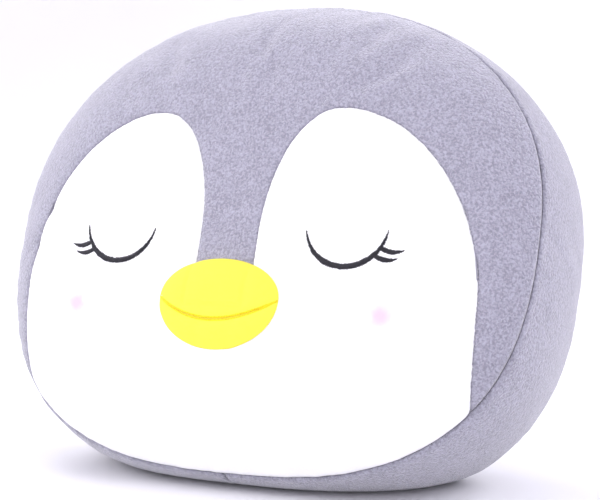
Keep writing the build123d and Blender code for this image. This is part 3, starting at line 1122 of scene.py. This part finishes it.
BEAK_OUTLINE_POWER = 2.05
BEAK_CLOTH = 1.2 * MM
BEAK_LIFT = 0.25 * MM
WADDING_INSET = 2.2 * MM
MOUTH_SHARE = 0.985  # part of the beak's width that the mouth crosses
LIP_GAP = 0.95 * MM  # from the mouth line to each row of stitches


class CUSHION_OT_beak(bpy.types.Operator):
    """Sews the two padded halves of the beak and the gold stitching of the mouth"""

    bl_idname = "cushion.beak"
    bl_label = "Beak"

    def execute(self, context):
        beak = context.scene.cushion_beak
        self.measure(beak)
        for name, upper, replaced in (
            ("beak_upper_half", True, ["beak_upper_cover"]),
            ("beak_lower_half", False, ["beak_lower_cover"]),
        ):
            piece = self.half(name, upper, beak, 0.0)
            finish_piece(piece, MATERIALS["yellow_plush"], replaced)
        wadding = self.half("beak_wadding", True, beak, WADDING_INSET)
        finish_piece(wadding, MATERIALS["white_fibre"], ["beak_padding"])
        self.mouth(beak)
        return {"FINISHED"}

    def measure(self, beak):
        """Takes the size and place of the beak from its covers in the frame."""
        nodes = [frame["nodes"][f"beak_{half}_cover"] for half in ("upper", "lower")]
        covers = [to_head(coordinates(node.data)) for node in nodes]
        across, _, up = np.concatenate(covers).T
        self.half_width = (across.max() - across.min()) / 2
        self.rise = beak.rise_share * (up.max() - up.min())
        self.drop = up.max() - up.min() - self.rise
        self.level = up.max() - self.rise

    def reach(self, angle):
        """Reach of the beak's outline from its middle, between its corners."""
        height = np.where(np.sin(angle) >= 0, self.rise, self.drop)
        across = (np.abs(np.cos(angle)) / self.half_width) ** BEAK_OUTLINE_POWER
        up = (np.abs(np.sin(angle)) / height) ** BEAK_OUTLINE_POWER
        return (across + up) ** (-1 / BEAK_OUTLINE_POWER)

    def mouth_level(self, across, beak):
        """Level of the mouth line, which hangs between the corners of the beak."""
        share = np.clip(np.abs(across) / self.half_width, 0, 1)
        return self.level - beak.mouth_drop * (1 - share**2.0)

    def height(self, across, up, beak, inset):
        """How far the beak stands out of the face."""
        angle = np.arctan2(up - self.level, across)
        share = np.clip(np.hypot(across, up - self.level) / self.reach(angle), 0, 1)
        dome = (beak.height - inset) * (1 - share**beak.power) ** 0.75
        away = np.abs(up - self.mouth_level(across, beak))
        lips = beak.mouth_depth * np.exp(-((away / beak.lip_radius) ** 1.6))
        lips *= np.clip(dome / (4 * MM), 0, 1)
        return dome - lips + BEAK_LIFT

    def half(self, name, upper, beak, inset):
        """Padded half of the beak, from the mouth line out to its edge on the face."""
        columns, rows = 96, 40
        points, faces = [], []
        for i in range(columns + 1):
            slide = -cos(pi * i / columns)
            across = slide * (self.half_width - inset)
            edge_share = sqrt(max(0.0, 1 - slide**2))
            edge = self.level + (self.rise - inset if upper else inset - self.drop) * edge_share
            mouth = float(self.mouth_level(across, beak))
            for j in range(rows + 1):
                share = j / rows
                share = share + 0.12 * sin(2 * pi * share) / pi
                up = mouth + (edge - mouth) * share
                rise = float(self.height(across, up, beak, inset))
                base, _ = on_face(across, up)
                out = Vector(head()["turn"] @ np.array([0, -1, 0]))
                points.append(base + out * rise)
        for i in range(columns):
            for j in range(rows):
                a = i * (rows + 1) + j
                faces.append((a, a + rows + 1, a + rows + 2, a + 1))
        piece = new_piece(name, points, faces)
        face_outwards(piece, merged=0.05 * MM)
        into = Vector(head()["turn"] @ np.array([0, 1, 0]))
        if sum((p.normal.dot(into) for p in piece.data.polygons), 0.0) > 0:
            piece.data.flip_normals()
        # darkening beside the mouth line, read by the yellow plush: painted shade in the sunken mouth between
        # the lips
        seam = piece.data.attributes.new("seam", "FLOAT", "POINT")
        local = to_head(coordinates(piece.data))
        away = np.abs(local[:, 2] - self.mouth_level(local[:, 0], beak))
        seam.data.foreach_set("value", np.exp(-((away / (1.0 * MM)) ** 1.5)).astype(np.float32))
        thick = piece.modifiers.new("thickness", "SOLIDIFY")
        thick.thickness, thick.offset = BEAK_CLOTH, -1
        apply_modifiers(piece)
        return piece

    def mouth(self, beak):
        """Two rows of gold satin stitching that follow the lips."""
        SURFACE["tree"] = search_tree("beak_upper_half", "beak_lower_half")
        rng = np.random.default_rng(11)
        stitches = []
        for offset in (LIP_GAP, -LIP_GAP):
            across = np.linspace(-MOUTH_SHARE, MOUTH_SHARE, 120) * self.half_width
            gap = offset * (1 - (across / self.half_width) ** 4)
            path = np.stack([across, self.mouth_level(across, beak) + gap], 1)
            widths = np.full(len(path), beak.stitch_width)
            stitches += on_face_stitches(satin(path, widths, 0.3, 0.5 * MM, 0.08 * MM, rng), 0.62 * MM)
        piece = sew("mouth_satin_stitch", stitches, 0.5 * MM, 0.35 * MM)
        finish_piece(piece, MATERIALS["gold_thread"], ["mouth_stitching"])
        SURFACE.pop("tree", None)


# ---------------------------------------------------------------------------
# Label, closing stitches and hidden pieces
# ---------------------------------------------------------------------------


LABEL_CURL = 1.6 * MM
LABEL_WAVE = 0.5 * MM
LABEL_THICKNESS = 0.4 * MM
CLOSING_SPACING = 4.5 * MM
CLOSING_REACH = 2.2 * MM
CLOSING_WIDTH = 0.7 * MM


class CUSHION_OT_label(bpy.types.Operator):
    """Hangs the blank satin care label in the back seam"""

    bl_idname = "cushion.label"
    bl_label = "Care label"

    def execute(self, context):
        place = to_head(coordinates(frame["nodes"]["care_label"].data))
        low, high = place[place[:, 2].argmin()], place[place[:, 2].argmax()]
        start, end = place[:, 1].min(), place[:, 1].max()
        along = np.array([high[0] - low[0], 0, high[2] - low[2]])
        out = np.array([-along[2], 0, along[0]]) / np.linalg.norm(along)
        columns, rows, rise = 16, 22, end - start
        points = []
        for i in range(columns + 1):
            for j in range(rows + 1):
                share = j / rows
                curl = LABEL_CURL * sin(2.2 * share) * (1 - 0.3 * i / columns)
                lift = curl + LABEL_WAVE * sin(4 * i / columns)
                middle = np.array([low[0], start, low[2]]) + along * i / columns
                points.append(middle + (0, rise * share, 0) + out * lift)
        corners = [i * (rows + 1) + j for i in range(columns) for j in range(rows)]
        faces = [(a, a + rows + 1, a + rows + 2, a + 1) for a in corners]
        label = new_piece("satin_label", to_world(np.array(points)), faces)
        thick = label.modifiers.new("thickness", "SOLIDIFY")
        thick.thickness, thick.offset = LABEL_THICKNESS, 0
        apply_modifiers(label)
        finish_piece(label, MATERIALS["white_satin"], ["care_label"])
        return {"FINISHED"}


class CUSHION_OT_closing(bpy.types.Operator):
    """Sews the opening of the back seam shut with hand stitches"""

    bl_idname = "cushion.closing"
    bl_label = "Closing stitches"

    def execute(self, context):
        tree = search_tree("left_side_plush", "back_plush")
        thread = to_head(coordinates(frame["nodes"]["closing_thread"].data))
        band = head()["band"]
        first, last = thread[:, 0].min(), thread[:, 0].max()
        count = int((last - first) / CLOSING_SPACING)
        rng = np.random.default_rng(3)
        stitches = []
        for across in np.linspace(first, last, count):
            near = thread[np.abs(thread[:, 0] - across).argmin()]
            turn = np.arctan2(near[2], across)
            edge = float(outline_reach(turn)) + 4 * MM
            slant = 0.8 * MM * rng.uniform(0.4, 1)
            ends = []
            for side in (-1, 1):
                across_seam = band + side * CLOSING_REACH
                spot = np.array([edge * cos(turn) + side * slant, across_seam, edge * sin(turn)])
                ends.append(tree.find_nearest(Vector(to_world([spot])[0])))
            out = (ends[0][1] + ends[1][1]).normalized()
            stitches.append((ends[0][0], ends[1][0], out, CLOSING_WIDTH))
        piece = sew("closing_stitches", stitches, CLOSING_WIDTH, 0.9 * MM)
        finish_piece(piece, MATERIALS["grey_thread"], ["closing_thread"])
        return {"FINISHED"}


class CUSHION_OT_hidden(bpy.types.Operator):
    """Gives the pieces that stay as they are in the frame their finishes"""

    bl_idname = "cushion.hidden"
    bl_label = "Threads and backings"

    def execute(self, context):
        slots = {n: m["slot"] for m in frame["record"]["materials"] for n in m.get("nodes", [])}
        for name, node in frame["nodes"].items():
            if node.hide_render:
                continue
            slot = slots.get(name) or node_slot(name)
            for index in range(max(1, len(node.material_slots))):
                if not node.material_slots:
                    node.data.materials.append(MATERIALS[slot])
                else:
                    node.material_slots[index].material = MATERIALS[slot]
        return {"FINISHED"}


def node_slot(name):
    for word, slot in (
        ("backing", "white_nonwoven"),
        ("label", "white_satin"),
        ("thread", "grey_thread"),
        ("filling", "white_fibre"),
        ("padding", "white_fibre"),
    ):
        if word in name:
            return slot
    raise RuntimeError(f"no finish is known for {name}")


# ---------------------------------------------------------------------------
# Stage
# ---------------------------------------------------------------------------

SWEEP_REACH = 2.5
LIGHTS = (  # name, place, point it shines at, size, power and tint
    ("key", (-1.6, -1.4, 1.4), (0, 0, 0.17), 1.6, 25, (1.0, 0.995, 0.985)),
    ("low", (0.3, -1.9, 0.35), (0, 0, 0.12), 1.2, 7, (0.97, 0.98, 1.0)),
    ("fill", (1.7, -0.9, 0.9), (0, 0, 0.17), 1.6, 7, (0.98, 0.98, 1.0)),
    ("rim", (1.3, 1.2, 1.3), (0, 0, 0.17), 1.4, 24, (0.98, 0.98, 1.0)),
    ("window", (-1.3, 0.7, 1.7), (0, 0, 0.2), 1.2, 14, (0.99, 0.99, 1.0)),
)


def area_light(name, place, aim, size, power, tint):
    light = bpy.data.lights.new(name, "AREA")
    light.shape, light.size, light.energy, light.color = "DISK", size, power, tint
    lamp = bpy.data.objects.new(name, light)
    bpy.context.scene.collection.objects.link(lamp)
    lamp.location = place
    lamp.rotation_mode = "QUATERNION"
    lamp.rotation_quaternion = (Vector(aim) - Vector(place)).to_track_quat("-Z", "Y")


class CUSHION_OT_stage(bpy.types.Operator):
    """Sets the floor, the soft lights and the camera"""

    bl_idname = "cushion.stage"
    bl_label = "Floor, lights and camera"

    def execute(self, context):
        stage = context.scene.cushion_stage
        self.floor()
        middle = head()["middle"]
        aim = Vector(middle) + Vector((stage.aim_right, 0, -stage.aim_drop))
        away = Vector(
            (
                sin(stage.azimuth) * cos(stage.elevation),
                -cos(stage.azimuth) * cos(stage.elevation),
                sin(stage.elevation),
            )
        )
        camera = bpy.data.objects.new("camera", bpy.data.cameras.new("camera"))
        context.scene.collection.objects.link(camera)
        camera.data.lens, camera.data.sensor_width = stage.lens, 36
        camera.location = aim + stage.distance * away
        camera.rotation_mode = "QUATERNION"
        camera.rotation_quaternion = (-away).to_track_quat("-Z", "Y")
        context.scene.camera = camera
        for light in LIGHTS:
            area_light(*light)
        world = bpy.data.worlds.new("soft daylight")
        context.scene.world = world
        world.use_nodes = True
        sky = world.node_tree.nodes["Background"]
        sky.inputs["Color"].default_value = (0.95, 0.955, 1.0, 1)
        sky.inputs["Strength"].default_value = 0.6
        context.scene.view_settings.view_transform = "Standard"
        return {"FINISHED"}

    def floor(self):
        """Pale sweep: a floor that curves up into a wall far behind the cushion."""
        bpy.ops.mesh.primitive_plane_add(size=2 * SWEEP_REACH, location=(0, 0, -0.0005))
        floor = bpy.context.object
        floor.name = "floor"
        activate(floor)
        bpy.ops.object.transform_apply(location=True, rotation=True, scale=True)
        edit = bmesh.new()
        edit.from_mesh(floor.data)
        edit.edges.ensure_lookup_table()
        for edge in edit.edges:
            middle = (edge.verts[0].co + edge.verts[1].co) / 2
            edge.select_set(middle.y > 0.9 * SWEEP_REACH or middle.x < -0.9 * SWEEP_REACH)
        edit.to_mesh(floor.data)
        edit.free()
        bpy.ops.object.mode_set(mode="EDIT")
        bpy.ops.mesh.select_mode(type="EDGE")
        bpy.ops.mesh.extrude_region_move(TRANSFORM_OT_translate={"value": (0, 0, SWEEP_REACH)})
        bpy.ops.object.mode_set(mode="OBJECT")
        fold = floor.modifiers.new("fold", "BEVEL")
        fold.width, fold.segments, fold.limit_method = 0.5 * SWEEP_REACH, 24, "ANGLE"
        apply_modifiers(floor)
        floor.data.shade_smooth()
        material, tree, shader, place = new_material("pale floor")
        patches = add_noise(tree, place, 0.4, detail=2.0)
        tint = add_mix(tree, patches, rgb(238, 237, 241), rgb(243, 242, 246))
        tree.links.new(tint, shader.inputs["Base Color"])
        shader.inputs["Roughness"].default_value = 0.9
        floor.data.materials.append(material)


class CUSHION_PT_panel(bpy.types.Panel):
    """Steps of making the cushion, in order"""

    bl_idname = "CUSHION_PT_panel"
    bl_label = "Plush penguin cushion"
    bl_space_type = "VIEW_3D"
    bl_region_type = "UI"
    bl_category = "Cushion"

    def draw(self, context):
        for group in PROPERTY_GROUPS:
            box = self.layout.box()
            for name in PROPERTY_GROUPS[group].__annotations__:
                box.prop(getattr(context.scene, group), name)
        for step in STEPS:
            self.layout.operator(step.bl_idname)


PROPERTY_GROUPS = {
    "cushion_head": HeadSizes,
    "cushion_face": FaceSizes,
    "cushion_eyes": EyeSizes,
    "cushion_beak": BeakSizes,
    "cushion_colours": Colours,
    "cushion_stage": StageSizes,
}
STEPS = (
    CUSHION_OT_stage,
    CUSHION_OT_skin,
    CUSHION_OT_eyes,
    CUSHION_OT_beak,
    CUSHION_OT_label,
    CUSHION_OT_closing,
    CUSHION_OT_hidden,
)


def register():
    for group_class in PROPERTY_GROUPS.values():
        bpy.utils.register_class(group_class)
    for name, group_class in PROPERTY_GROUPS.items():
        setattr(bpy.types.Scene, name, PointerProperty(type=group_class))
    for step in STEPS:
        bpy.utils.register_class(step)
    bpy.utils.register_class(CUSHION_PT_panel)


def unregister():
    bpy.utils.unregister_class(CUSHION_PT_panel)
    for step in reversed(STEPS):
        bpy.utils.unregister_class(step)
    for name in PROPERTY_GROUPS:
        delattr(bpy.types.Scene, name)
    for group_class in reversed(PROPERTY_GROUPS.values()):
        bpy.utils.unregister_class(group_class)


def main():
    register()
    make_materials()
    bpy.ops.cushion.stage()
    bpy.ops.cushion.skin()
    bpy.ops.cushion.eyes()
    bpy.ops.cushion.beak()
    bpy.ops.cushion.label()
    bpy.ops.cushion.closing()
    bpy.ops.cushion.hidden()
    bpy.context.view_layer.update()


if __name__ == "__main__":
    main()
